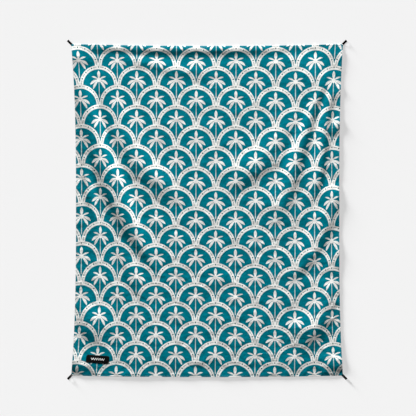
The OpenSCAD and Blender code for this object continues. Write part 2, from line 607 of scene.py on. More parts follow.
def ground_square(name: str, half: float) -> bpy.types.Object:
    """Makes a level square on the ground, with its middle at the origin."""
    span = np.array([-half, half])
    return grid_object(name, np.stack([*np.meshgrid(span, span), np.zeros((2, 2))], axis=-1))


def add_print_map(mesh: bpy.types.Mesh, pairs: np.ndarray) -> None:
    """Gives a mesh its print map, from one pair of coordinates for each point."""
    layer = mesh.uv_layers.new(name=PRINT_MAP)
    corners = np.zeros(len(mesh.loops), dtype=np.int32)
    mesh.loops.foreach_get("vertex_index", corners)
    layer.data.foreach_set("uv", pairs[corners].reshape(-1).astype(np.float32))


class Layers:
    """Reads the heights of the blanket's layers over its settled underside.

    Attributes:
        rise_w: Width of the slope from the rim up to the full height.
        rise_in: How far that slope reaches into the rim.
        pucker_w: How far the stitches draw the slope in and out.
        loft_h: Height of the wadding's soft bumps.
        dent_h: Depth of the groove under the topstitching.
        dent_w: Width of that groove.
        spacing: Distance between the grid lines inside the rim.
    """

    rise_w: float = 84 * MM
    rise_in: float = 6 * MM
    pucker_w: float = 3 * MM
    loft_h: float = 0.35 * MM
    dent_h: float = 0.3 * MM
    dent_w: float = 1.6 * MM
    spacing: float = 9.4 * MM

    def __init__(self, layout: Layout, cloth: LaidCloth) -> None:
        """Settles the cloth.

        Args:
            layout: The blanket's sizes.
            cloth: How it is laid out.
        """
        self.layout = layout
        self.cloth = cloth
        self.underside = cloth.settle()
        fine = np.array([0, 0.5, 1.5, 3, 5, 7, 9, 11, 12.4, 13.6, 15, 18, 22, 27, 34, 43]) * MM
        self.lines_x = grid_lines(layout.cut_w / 2, fine, self.spacing)
        self.lines_y = grid_lines(layout.cut_l / 2, fine, self.spacing)
        self.loft = SoftNoise(spacing=70 * MM, seed=11)
        self.pucker = SoftNoise(spacing=20 * MM, seed=12)

    def grid(self) -> tuple[Grid, Grid]:
        """Gives the cloth's own coordinates at every crossing of the grid lines."""
        return np.meshgrid(self.lines_x, self.lines_y)

    def edge_distance(self, a: Grid, b: Grid) -> Grid:
        """Gives the distance from places on the cloth to its nearest edge."""
        return np.minimum(self.layout.cut_w / 2 - np.abs(a), self.layout.cut_l / 2 - np.abs(b))

    def field(self, a: Grid, b: Grid) -> Grid:
        """Gives the height of the face above the underside, inside the rolled edge."""
        layout = self.layout
        d = self.edge_distance(a, b)
        puckered = layout.rim_w + self.pucker_w * self.pucker.read(a, b)
        rise = smoothstep(0, self.rise_w, d - puckered + self.rise_in)
        height = layout.rim_h + (layout.field_h - layout.rim_h) * rise
        height += self.loft_h * self.loft.read(a, b) * rise
        return height - self.dent_h * groove(d, layout.topstitch_in, self.dent_w)

    def place(self, a: Grid, b: Grid, height: Grid) -> Grid:
        """Gives where points of the cloth lie.

        Args:
            a: Places across the flat cloth.
            b: Places along the flat cloth.
            height: Heights above the underside, square to it.

        Returns:
            The points, in the shape of a and b with x, y and z.
        """
        layout = self.layout
        a, b = round_corners(a, b, layout.cut_w / 2, layout.cut_l / 2, layout.corner_r)
        base, normal = self._underside(a, b)
        return base + normal * np.asarray(height)[..., None]

    def upright(self, a: Grid, b: Grid) -> Grid:
        """Gives the direction that points out of the cloth."""
        return self._underside(a, b)[1]

    def _underside(self, a: Grid, b: Grid) -> tuple[Grid, Grid]:
        """Gives the underside's points and the directions square to it."""
        u, v = a / self.layout.cut_w + 0.5, b / self.layout.cut_l + 0.5
        point, du, dv = self.underside.read(u, v)
        normal = np.cross(du, dv)
        return point, normal / np.linalg.norm(normal, axis=-1, keepdims=True)

    def printed(self, a: Grid, b: Grid) -> Grid:
        """Gives the print's own coordinates, in metres on the laid blanket."""
        return np.stack([a * self.layout.width / self.layout.cut_w,
                         b * self.layout.length / self.layout.cut_l], axis=-1)


def shell(name: str, top: Grid, bottom: Grid, flat: Grid) -> bpy.types.Object:
    """Closes two nets of points into one solid that share the border of the top one.

    Args:
        name: The piece's name.
        top: The upper net.
        bottom: The lower net, of the same size.
        flat: Coordinates for the print map, one pair for each crossing.

    Returns:
        The piece, with its print map.
    """
    rows, columns = top.shape[:2]
    index = np.arange(rows * columns).reshape(rows, columns)
    under = np.full((rows, columns), -1)
    inner = (slice(1, -1), slice(1, -1))
    under[inner] = rows * columns + np.arange((rows - 2) * (columns - 2)).reshape(rows - 2, -1)
    under = np.where(under < 0, index, under)
    quads = grid_faces(rows, columns)
    faces = np.vstack([quads, under.reshape(-1)[quads[:, ::-1]]])
    points = np.vstack([top.reshape(-1, 3), bottom[inner].reshape(-1, 3)])
    mesh = bpy.data.meshes.new(name)
    mesh.from_pydata(points.tolist(), [], faces.tolist())
    add_print_map(mesh, np.vstack([flat.reshape(-1, 2), flat[inner].reshape(-1, 2)]))
    mesh.shade_smooth()
    return add_object(name, mesh)


# ---------------------------------------------------------------- stitches by geometry nodes


def stitch_tree(material: bpy.types.Material) -> bpy.types.NodeTree:
    """Builds the nodes that lay stitches along a path, one tree for each thread.

    Args:
        material: The thread's finish.

    Returns:
        A tree with inputs for the path, the pitch, and a stitch's length, width, height and turn.
    """
    tree = bpy.data.node_groups.new("stitches_" + material.name, "GeometryNodeTree")
    face = tree.interface
    face.new_socket("Path", in_out="INPUT", socket_type="NodeSocketGeometry")
    for name, value in (("Pitch", 3.0 * MM), ("Length", 2.6 * MM), ("Width", 0.6 * MM),
                        ("Height", 0.3 * MM), ("Turn", 0.0)):
        made = face.new_socket(name, in_out="INPUT", socket_type="NodeSocketFloat")
        made.default_value = value
    for name, value in (("Segments", 8), ("Rings", 6)):
        made = face.new_socket(name, in_out="INPUT", socket_type="NodeSocketInt")
        made.default_value = value
    face.new_socket("Stitches", in_out="OUTPUT", socket_type="NodeSocketGeometry")
    node = tree.nodes.new
    given, result = node("NodeGroupInput"), node("NodeGroupOutput")
    curve = node("GeometryNodeMeshToCurve")
    evenly = node("GeometryNodeResampleCurve")
    evenly.mode = "LENGTH"
    tangent = node("GeometryNodeInputTangent")
    up = node("GeometryNodeInputNamedAttribute")
    up.data_type = "FLOAT_VECTOR"
    up.inputs["Name"].default_value = "up"
    along = node("FunctionNodeAlignRotationToVector")
    along.axis = "X"
    level = node("FunctionNodeAlignRotationToVector")
    level.axis = "Z"
    level.pivot_axis = "X"
    ball = node("GeometryNodeMeshUVSphere")
    ball.inputs["Radius"].default_value = 0.5
    lie = node("GeometryNodeTransform")
    lie.inputs["Rotation"].default_value = (0, math.pi / 2, 0)
    size, turn = node("ShaderNodeCombineXYZ"), node("ShaderNodeCombineXYZ")
    shape, turned = node("GeometryNodeTransform"), node("GeometryNodeTransform")
    smooth = node("GeometryNodeSetShadeSmooth")
    place = node("GeometryNodeInstanceOnPoints")
    real = node("GeometryNodeRealizeInstances")
    dress = node("GeometryNodeSetMaterial")
    dress.inputs["Material"].default_value = material
    for source, output, target, socket in (
            (given, "Path", curve, "Mesh"),
            (curve, "Curve", evenly, "Curve"),
            (given, "Pitch", evenly, "Length"),
            (tangent, "Tangent", along, "Vector"),
            (along, "Rotation", level, "Rotation"),
            (up, "Attribute", level, "Vector"),
            (given, "Segments", ball, "Segments"),
            (given, "Rings", ball, "Rings"),
            (ball, "Mesh", lie, "Geometry"),
            (given, "Length", size, "X"),
            (given, "Width", size, "Y"),
            (given, "Height", size, "Z"),
            (lie, "Geometry", shape, "Geometry"),
            (size, "Vector", shape, "Scale"),
            (given, "Turn", turn, "Z"),
            (shape, "Geometry", turned, "Geometry"),
            (turn, "Vector", turned, "Rotation"),
            (turned, "Geometry", smooth, "Geometry"),
            (evenly, "Curve", place, "Points"),
            (smooth, "Geometry", place, "Instance"),
            (level, "Rotation", place, "Rotation"),
            (place, "Instances", real, "Geometry"),
            (real, "Geometry", dress, "Geometry"),
            (dress, "Geometry", result, "Stitches")):
        tree.links.new(source.outputs[output], target.inputs[socket])
    return tree


@dataclass(frozen=True)
class Thread:
    """A sewing thread.

    Attributes:
        material: Its finish.
        stitches: The nodes that lay its stitches along a path.
    """

    material: bpy.types.Material
    stitches: bpy.types.NodeTree


@dataclass(frozen=True)
class StitchRow:
    """A row of stitches of one thread.

    Attributes:
        pitch: Distance from one stitch to the next.
        length: Length of one stitch.
        width: Width of the thread as it lies.
        height: Height of the thread as it lies.
        turn: Angle from the row to its stitches.
        segments: Number of sides of one stitch.
        rings: Number of rows of faces along one stitch.
    """

    pitch: float
    length: float
    width: float
    height: float
    turn: float = 0.0
    segments: int = 8
    rings: int = 6

    def sew(self, name: str, path: np.ndarray, up: np.ndarray, closed: bool,
            thread: Thread) -> bpy.types.Object:
        """Lays the stitches along a path.

        Args:
            name: The piece's name.
            path: Points of the row, through the middles of the stitches.
            up: The direction out of the cloth at each point.
            closed: Whether the row runs back to its start.
            thread: The thread that it is sewn with.

        Returns:
            The stitches as one plain mesh.
        """
        count = len(path)
        edges = [(i, i + 1) for i in range(count - 1)] + ([(count - 1, 0)] if closed else [])
        route = bpy.data.meshes.new(name + "_route")
        route.from_pydata(path.tolist(), edges, [])
        attribute = route.attributes.new("up", "FLOAT_VECTOR", "POINT")
        attribute.data.foreach_set("vector", up.reshape(-1).astype(np.float32))
        runner = add_object(name + "_route", route)
        sewing = runner.modifiers.new("Stitches", "NODES")
        sewing.node_group = thread.stitches
        values = {"Pitch": self.pitch, "Length": self.length, "Width": self.width,
                  "Height": self.height, "Turn": self.turn, "Segments": self.segments,
                  "Rings": self.rings}
        for item in thread.stitches.interface.items_tree:
            if item.in_out == "INPUT" and item.name in values:
                sewing[item.identifier] = values[item.name]
        graph = bpy.context.evaluated_depsgraph_get()
        mesh = bpy.data.meshes.new_from_object(runner.evaluated_get(graph), depsgraph=graph)
        mesh.name = name
        bpy.data.objects.remove(runner)
        bpy.data.meshes.remove(route)
        return add_object(name, mesh)


# ---------------------------------------------------------------- shader nodes


class Graph:
    """Short calls for the nodes of one shader tree."""

    def __init__(self, tree: bpy.types.NodeTree) -> None:
        """Takes the tree that the nodes are made in."""
        self.tree = tree

    def put(self, socket: Socket, value: object) -> None:
        """Links a socket to an output, or sets its value."""
        if isinstance(value, bpy.types.NodeSocket):
            self.tree.links.new(value, socket)
        else:
            socket.default_value = value

    def math(self, operation: str, *values: object, clamp: bool = False) -> Socket:
        """Adds a Math node over one, two or three values."""
        made = self.tree.nodes.new("ShaderNodeMath")
        made.operation = operation
        made.use_clamp = clamp
        for socket, value in zip(made.inputs, values):
            self.put(socket, value)
        return made.outputs[0]

    def add(self, first: object, second: object) -> Socket:
        """Adds two numbers."""
        return self.math("ADD", first, second)

    def sub(self, first: object, second: object) -> Socket:
        """Takes the second number from the first."""
        return self.math("SUBTRACT", first, second)

    def mul(self, first: object, second: object) -> Socket:
        """Multiplies two numbers."""
        return self.math("MULTIPLY", first, second)

    def larger(self, first: object, second: object) -> Socket:
        """Gives the larger of two numbers."""
        return self.math("MAXIMUM", first, second)

    def absolute(self, value: Socket) -> Socket:
        """Gives a number without its sign."""
        return self.math("ABSOLUTE", value)

    def crests(self, value: Socket, spacing: float = 1.0) -> Socket:
        """Gives a row of round crests, from 0 between them to 1 on top."""
        return self.absolute(self.math("SINE", self.mul(value, math.pi / spacing)))

    def counted(self, place: Socket, unit: Socket) -> tuple[Socket, Socket, Socket]:
        """Takes a place apart and counts it in a unit."""
        return self.split(self.scaled(place, self.math("DIVIDE", 1.0, unit)))

    def length(self, value: Socket) -> Socket:
        """Gives a vector's length."""
        made = self.tree.nodes.new("ShaderNodeVectorMath")
        made.operation = "LENGTH"
        self.put(made.inputs[0], value)
        return made.outputs["Value"]

    def scaled(self, value: Socket, factor: object) -> Socket:
        """Multiplies a vector by a number."""
        made = self.tree.nodes.new("ShaderNodeVectorMath")
        made.operation = "SCALE"
        self.put(made.inputs[0], value)
        self.put(made.inputs["Scale"], factor)
        return made.outputs["Vector"]

    def combine(self, x: object, y: object, z: object = 0.0) -> Socket:
        """Joins three numbers into a vector."""
        made = self.tree.nodes.new("ShaderNodeCombineXYZ")
        for socket, value in zip(made.inputs, (x, y, z)):
            self.put(socket, value)
        return made.outputs[0]

    def split(self, value: Socket) -> tuple[Socket, Socket, Socket]:
        """Takes a vector apart."""
        made = self.tree.nodes.new("ShaderNodeSeparateXYZ")
        self.put(made.inputs[0], value)
        return made.outputs[0], made.outputs[1], made.outputs[2]

    def ramp(self, value: Socket, low: object, high: object, start: object = 0.0,
             end: object = 1.0) -> Socket:
        """Maps a value smoothly from low..high to start..end."""
        made = self.tree.nodes.new("ShaderNodeMapRange")
        made.interpolation_type = "SMOOTHSTEP"
        for name, given in (("Value", value), ("From Min", low), ("From Max", high),
                            ("To Min", start), ("To Max", end)):
            self.put(made.inputs[name], given)
        return made.outputs["Result"]

    def noise(self, place: Socket, scale: object, detail: float = 2.0,
              roughness: float = 0.5) -> Socket:
        """Adds a Noise texture and gives its value."""
        made = self.tree.nodes.new("ShaderNodeTexNoise")
        self.put(made.inputs["Vector"], place)
        self.put(made.inputs["Scale"], scale)
        made.inputs["Detail"].default_value = detail
        made.inputs["Roughness"].default_value = roughness
        return made.outputs["Fac"]

    def mix(self, factor: object, first: object, second: object,
            blend: str = "MIX") -> Socket:
        """Mixes two colours."""
        made = self.tree.nodes.new("ShaderNodeMix")
        made.data_type = "RGBA"
        made.blend_type = blend
        self.put(made.inputs[0], factor)
        self.put(made.inputs[6], first)
        self.put(made.inputs[7], second)
        return made.outputs[2]

    def bump(self, height: Socket, distance: float, normal: object = None) -> Socket:
        """Turns heights between 0 and 1 into a normal."""
        made = self.tree.nodes.new("ShaderNodeBump")
        made.inputs["Distance"].default_value = distance
        self.put(made.inputs["Height"], height)
        if normal is not None:
            self.put(made.inputs["Normal"], normal)
        return made.outputs["Normal"]

    def print_map(self) -> Socket:
        """Gives the piece's own print map."""
        made = self.tree.nodes.new("ShaderNodeUVMap")
        made.uv_map = PRINT_MAP
        return made.outputs[0]

    def object_place(self) -> Socket:
        """Gives the place in the object's coordinates."""
        return self.tree.nodes.new("ShaderNodeTexCoord").outputs["Object"]

    def use(self, group: bpy.types.NodeTree, **values: object) -> bpy.types.NodeOutputs:
        """Places a node group and gives its outputs."""
        made = self.tree.nodes.new("ShaderNodeGroup")
        made.node_tree = group
        for name, value in values.items():
            self.put(made.inputs[name], value)
        return made.outputs


SOCKET_KINDS = {"float": "NodeSocketFloat", "vector": "NodeSocketVector"}


def shader_group(name: str, inputs: dict[str, str],
                 outputs: dict[str, str]) -> tuple[bpy.types.NodeTree, Graph, object, object]:
    """Starts a shader node group.

    Args:
        name: The group's name.
        inputs: Kind of each input by name.
        outputs: Kind of each output by name.

    Returns:
        The tree, its graph, and its input and output nodes.
    """
    tree = bpy.data.node_groups.new(name, "ShaderNodeTree")
    for socket, kind in inputs.items():
        tree.interface.new_socket(socket, in_out="INPUT", socket_type=SOCKET_KINDS[kind])
    for socket, kind in outputs.items():
        tree.interface.new_socket(socket, in_out="OUTPUT", socket_type=SOCKET_KINDS[kind])
    return tree, Graph(tree), tree.nodes.new("NodeGroupInput"), tree.nodes.new("NodeGroupOutput")


def plain_weave_group() -> bpy.types.NodeTree:
    """Builds a plain weave: threads that pass over and under each other."""
    tree, g, given, result = shader_group(
        "plain_weave", {"Place": "vector", "Thread": "float"}, {"Height": "float", "Gap": "float"})
    x, y, _ = g.counted(given.outputs["Place"], given.outputs["Thread"])
    crown_x, crown_y = g.crests(x), g.crests(y)
    parity = g.math("FLOORED_MODULO", g.add(g.math("FLOOR", x), g.math("FLOOR", y)), 2.0)
    over = g.mul(crown_x, g.math("POWER", crown_y, 0.5))
    under = g.mul(crown_y, g.math("POWER", crown_x, 0.5))
    height = g.add(g.mul(over, parity), g.mul(under, g.sub(1.0, parity)))
    g.put(result.inputs["Height"], height)
    g.put(result.inputs["Gap"], g.ramp(height, 0.35, 0.05))
    return tree


def fibre_group() -> bpy.types.NodeTree:
    """Builds the uneven tone and the short nap of brushed or spun fibre."""
    tree, g, given, result = shader_group(
        "fibre_mottle", {"Place": "vector", "Size": "float"}, {"Tone": "float", "Nap": "float"})
    place = given.outputs["Place"]
    coarse = g.math("DIVIDE", 1.0, given.outputs["Size"])
    blotch = g.noise(place, coarse, detail=3.0, roughness=0.6)
    fine = g.noise(place, g.mul(coarse, 6.0), roughness=0.6)
    x, y, z = g.split(place)
    combed = g.noise(g.combine(g.mul(x, 3.0), y, z), g.mul(coarse, 9.0), detail=3.0,
                     roughness=0.7)
    tone = g.add(g.mul(blotch, 0.6), g.mul(fine, 0.4))
    g.put(result.inputs["Tone"], g.ramp(tone, 0.32, 0.68))
    g.put(result.inputs["Nap"], combed)
    return tree


def twist_group() -> bpy.types.NodeTree:
    """Builds the slanted plies of sewing thread."""
    tree, g, given, result = shader_group(
        "thread_twist", {"Place": "vector", "Ply": "float"}, {"Height": "float"})
    x, y, z = g.counted(given.outputs["Place"], given.outputs["Ply"])
    g.put(result.inputs["Height"], g.crests(g.add(g.add(x, y), z)))
    return tree


def leaf_group() -> bpy.types.NodeTree:
    """Builds the mask of one pointed, bent leaf and of the vein along its middle."""
    tree, g, given, result = shader_group(
        "palm_leaf",
        {"Place": "vector", "Angle": "float", "Length": "float", "Width": "float", "Bend": "float"},
        {"Leaf": "float", "Vein": "float"})
    x, y, _ = g.split(given.outputs["Place"])
    cos, sin = g.math("COSINE", given.outputs["Angle"]), g.math("SINE", given.outputs["Angle"])
    along = g.add(g.mul(x, cos), g.mul(y, sin))
    across = g.sub(g.mul(y, cos), g.mul(x, sin))
    t = g.math("DIVIDE", along, given.outputs["Length"], clamp=True)
    arch = g.mul(g.mul(t, g.sub(1.0, t)), 4.0)
    off = g.absolute(g.sub(across, g.mul(arch, given.outputs["Bend"])))
    late = g.math("POWER", t, 1.3)
    plump = g.mul(g.mul(late, g.sub(1.0, late)), 4.0)
    half = g.mul(g.math("POWER", plump, 0.85), g.mul(given.outputs["Width"], 0.5))
    blade = g.ramp(g.sub(half, off), 0.0, 0.016)
    dash = g.ramp(g.math("SINE", g.mul(t, 34.0)), -0.7, -0.2)
    reach = g.mul(g.ramp(t, 0.28, 0.36), g.ramp(t, 0.88, 0.80))
    vein = g.mul(g.ramp(off, 0.016, 0.007), g.mul(dash, reach))
    g.put(result.inputs["Leaf"], blade)
    g.put(result.inputs["Vein"], vein)
    return tree


@dataclass(frozen=True)
class PalmPrint:
    """The printed pattern: rows of scales, each with a beaded border and a palm.

    Attributes:
        radius: Outer radius of a scale.
        row_step: Distance from one row to the next.
        column_shift: Place of one column of the even rows, across the blanket.
        top: Height of one even row's arches, along the blanket.
        band: Inner edge of the border as a share of the radius.
        bead_step: Angle from one bead to the next.
        drop: How much lower the border's inner edge sits, as a share of the radius.
        slant: How far the rows step aside per distance towards the foot edge.
        crown: Height of the palm's crown above the scale's middle, in radii like what follows.
        heart: Outer and inner radius of the crown's soft edge.
        foot: Height of the trunk's foot from the crown.
        leaves: Tip across, tip up, width and bend of each leaf on one side.
    """

    radius: float = 109.5 * MM
    row_step: float = 108.4 * MM
    column_shift: float = -62 * MM
    top: float = 690 * MM
    band: float = 0.828
    bead_step: float = math.radians(23.5)
    drop: float = 0.03
    slant: float = 0.003
    crown: float = 0.262
    heart: tuple[float, float] = (0.13, 0.10)
    foot: float = -0.90
    leaves: tuple[tuple[float, float, float, float], ...] = (
        (0.0, 0.475, 0.165, 0.0), (0.39, 0.165, 0.10, 0.035),
        (0.475, -0.25, 0.145, 0.055), (0.33, -0.475, 0.14, 0.04))

    def group(self) -> bpy.types.NodeTree:
        """Builds the pattern's masks over a print map in metres."""
        tree, g, given, result = shader_group(
            "palm_scales", {"Place": "vector"},
            {"Light": "float", "Bead": "float", "Vein": "float", "Trunk": "float"})
        across, y, _ = g.split(given.outputs["Place"])
        x = g.math("MULTIPLY_ADD", y, -self.slant, across)
        scale_x, scale_y = self._nearest_scale(g, x, y)
        band, bead = self._border(g, scale_x, scale_y)
        leaf, vein, trunk = self._palm(g, scale_x, scale_y)
        inside = g.sub(1.0, band)
        g.put(result.inputs["Light"], g.larger(band, g.mul(leaf, inside)))
        g.put(result.inputs["Bead"], bead)
        g.put(result.inputs["Vein"], g.mul(vein, inside))
        g.put(result.inputs["Trunk"], g.mul(trunk, inside))
        return tree

    def _nearest_scale(self, g: Graph, x: Socket, y: Socket) -> tuple[Socket, Socket]:
        """Finds the frontmost scale at a place, and gives the place from its middle in radii.

        Each row lies over the row above it. A place belongs to the lower row where that row's
        scale covers it, and otherwise to the row above, whose columns are half a pitch aside.
        """
        row = g.math("DIVIDE", g.sub(y, self.top - self.radius), self.row_step)
        number = g.math("FLOOR", row)
        low_y = g.mul(g.sub(row, number), self.row_step / self.radius)
        odd = g.math("FLOORED_MODULO", number, 2.0)
        pitch = g.math("DIVIDE", g.sub(x, self.column_shift), 2 * self.radius)
        column = g.add(pitch, g.mul(odd, 0.5))
        low_x = self._from_column(g, g.add(column, 0.5))
        high_x = self._from_column(g, column)
        high_y = g.sub(low_y, self.row_step / self.radius)
        covered = g.math("LESS_THAN", g.length(g.combine(low_x, low_y)), 1.0)
        return (self._choose(g, covered, low_x, high_x), self._choose(g, covered, low_y, high_y))

    def _from_column(self, g: Graph, value: Socket) -> Socket:
        """Gives the distance from the nearest column, in radii."""
        return g.mul(g.sub(g.math("FRACT", value), 0.5), 2.0)

    def _choose(self, g: Graph, which: Socket, yes: Socket, no: Socket) -> Socket:
        """Gives one of two numbers."""
        return g.math("MULTIPLY_ADD", g.sub(yes, no), which, no)

    def _border(self, g: Graph, x: Socket, y: Socket) -> tuple[Socket, Socket]:
        """Draws a scale's border and the beads and dashes along its middle."""
        r = g.length(g.combine(x, y))
        hole = g.length(g.combine(x, g.add(y, self.drop)))
        band = g.ramp(hole, self.band - 0.006, self.band + 0.006)
        angle = g.math("ARCTAN2", x, y)
        step = g.math("DIVIDE", angle, self.bead_step)
        middle = (1 + self.band) / 2
        arc = middle * self.bead_step
        from_bead = g.mul(g.sub(step, g.math("ROUND", step)), arc)
        from_dash = g.sub(g.absolute(from_bead), arc / 2)
        radial = g.sub(r, middle)
        bead = g.ramp(g.length(g.combine(from_bead, radial)), 0.042, 0.032)
        stretched = g.larger(g.sub(g.absolute(from_dash), 0.085), 0.0)
        dash = g.ramp(g.length(g.combine(stretched, radial)), 0.024, 0.014)
        return band, g.larger(bead, g.mul(dash, 0.6))

    def _palm(self, g: Graph, x: Socket, y: Socket) -> tuple[Socket, Socket, Socket]:
        """Draws a scale's palm: seven leaves about a crown, and a trunk."""
        from_crown = g.sub(y, self.crown)
        place = g.combine(g.absolute(x), from_crown)
        leaf = leaf_group()
        blade, vein = g.ramp(g.length(place), *self.heart), 0.0
        for tip_x, tip_y, width, bend in self.leaves:
            drawn = g.use(leaf, Place=place, Angle=math.atan2(tip_y, tip_x),
                          Length=math.hypot(tip_x, tip_y), Width=width, Bend=bend)
            blade = g.larger(blade, drawn["Leaf"])
            vein = g.larger(vein, drawn["Vein"])
        taper = g.ramp(from_crown, self.foot, -0.2, 0.022, 0.015)
        stem = g.ramp(g.sub(taper, g.absolute(x)), -0.006, 0.008)
        height = g.mul(g.ramp(from_crown, self.foot - 0.012, self.foot + 0.012),
                       g.ramp(from_crown, 0.0, -0.06))
        return blade, vein, g.mul(stem, height)


# ---------------------------------------------------------------- finishes


@dataclass(frozen=True)
class Finish:
    """A material's plain values, which its detail varies.

    Attributes:
        name: The material's name.
        color: Its main colour.
        roughness: Its middle roughness.
        sheen: How much light its fibres catch at a slant.
        specular: Strength of its gloss.
    """

    name: str
    color: tuple[float, float, float]
    roughness: float = 0.8
    sheen: float = 0.0
    specular: float = 0.3

    def start(self) -> tuple[bpy.types.Material, Graph, bpy.types.Node]:
        """Makes the material with its constant values set on the shader itself."""
        material = bpy.data.materials.new(self.name)
        material.use_nodes = True
        tree = material.node_tree
        shader = tree.nodes["Principled BSDF"]
        shader.inputs["Base Color"].default_value = (*self.color, 1.0)
        shader.inputs["Roughness"].default_value = self.roughness
        shader.inputs["Sheen Weight"].default_value = self.sheen
        shader.inputs["Sheen Roughness"].default_value = 0.45
        shader.inputs["Specular IOR Level"].default_value = self.specular
        return material, Graph(tree), shader

    def toned(self, g: Graph, tone: Socket, spread: float) -> Socket:
        """Gives the colour, darker and lighter by a share as a tone runs from 0 to 1."""
        dark = tuple(c * (1 - spread) for c in self.color) + (1.0,)
        light = tuple(min(c * (1 + spread), 1.0) for c in self.color) + (1.0,)
        return g.mix(tone, dark, light)

    def rough(self, g: Graph, tone: Socket, spread: float) -> Socket:
        """Gives the roughness, varied about its middle by a tone from 0 to 1."""
        return g.math("MULTIPLY_ADD", tone, 2 * spread, self.roughness - spread)


@dataclass(frozen=True)
class Palette:
    """The blanket's finishes."""

    teal: Finish = Finish("printed_face", (0.001, 0.152, 0.202), roughness=0.85, specular=0.0)
    cream: tuple[float, float, float] = (0.745, 0.745, 0.72)
    # Painted shade: the cream is mixed towards this darker colour in the gaps between the weave's
    # threads.
    gap_shade: tuple[float, float, float] = (0.55, 0.53, 0.49)
    bead: tuple[float, float, float] = (0.02, 0.10, 0.10)
    trunk: tuple[float, float, float] = (0.62, 0.66, 0.63)
    vein: tuple[float, float, float] = (0.60, 0.42, 0.36)
    wadding: Finish = Finish("wadding", (0.80, 0.79, 0.75), roughness=0.95, sheen=0.4, specular=0.1)
    backing: Finish = Finish("coated_backing", (0.018, 0.022, 0.026), roughness=0.42, specular=0.5)
    tape: Finish = Finish("loop_tape", (0.0025, 0.0025, 0.0025), roughness=0.9, specular=0.04)
    label: Finish = Finish("label_weave", (0.003, 0.003, 0.003), roughness=0.85, specular=0.05)
    motif: tuple[float, float, float] = (0.80, 0.80, 0.78)
    needle: Finish = Finish("face_thread", (0.006, 0.135, 0.175),
                            roughness=0.5, sheen=0.2, specular=0.45)
    black: Finish = Finish("black_thread", (0.010, 0.010, 0.010),
                           roughness=0.6, sheen=0.05, specular=0.25)
    seam: Finish = Finish("seam_thread", (0.72, 0.71, 0.66),
                          roughness=0.55, sheen=0.2, specular=0.4)


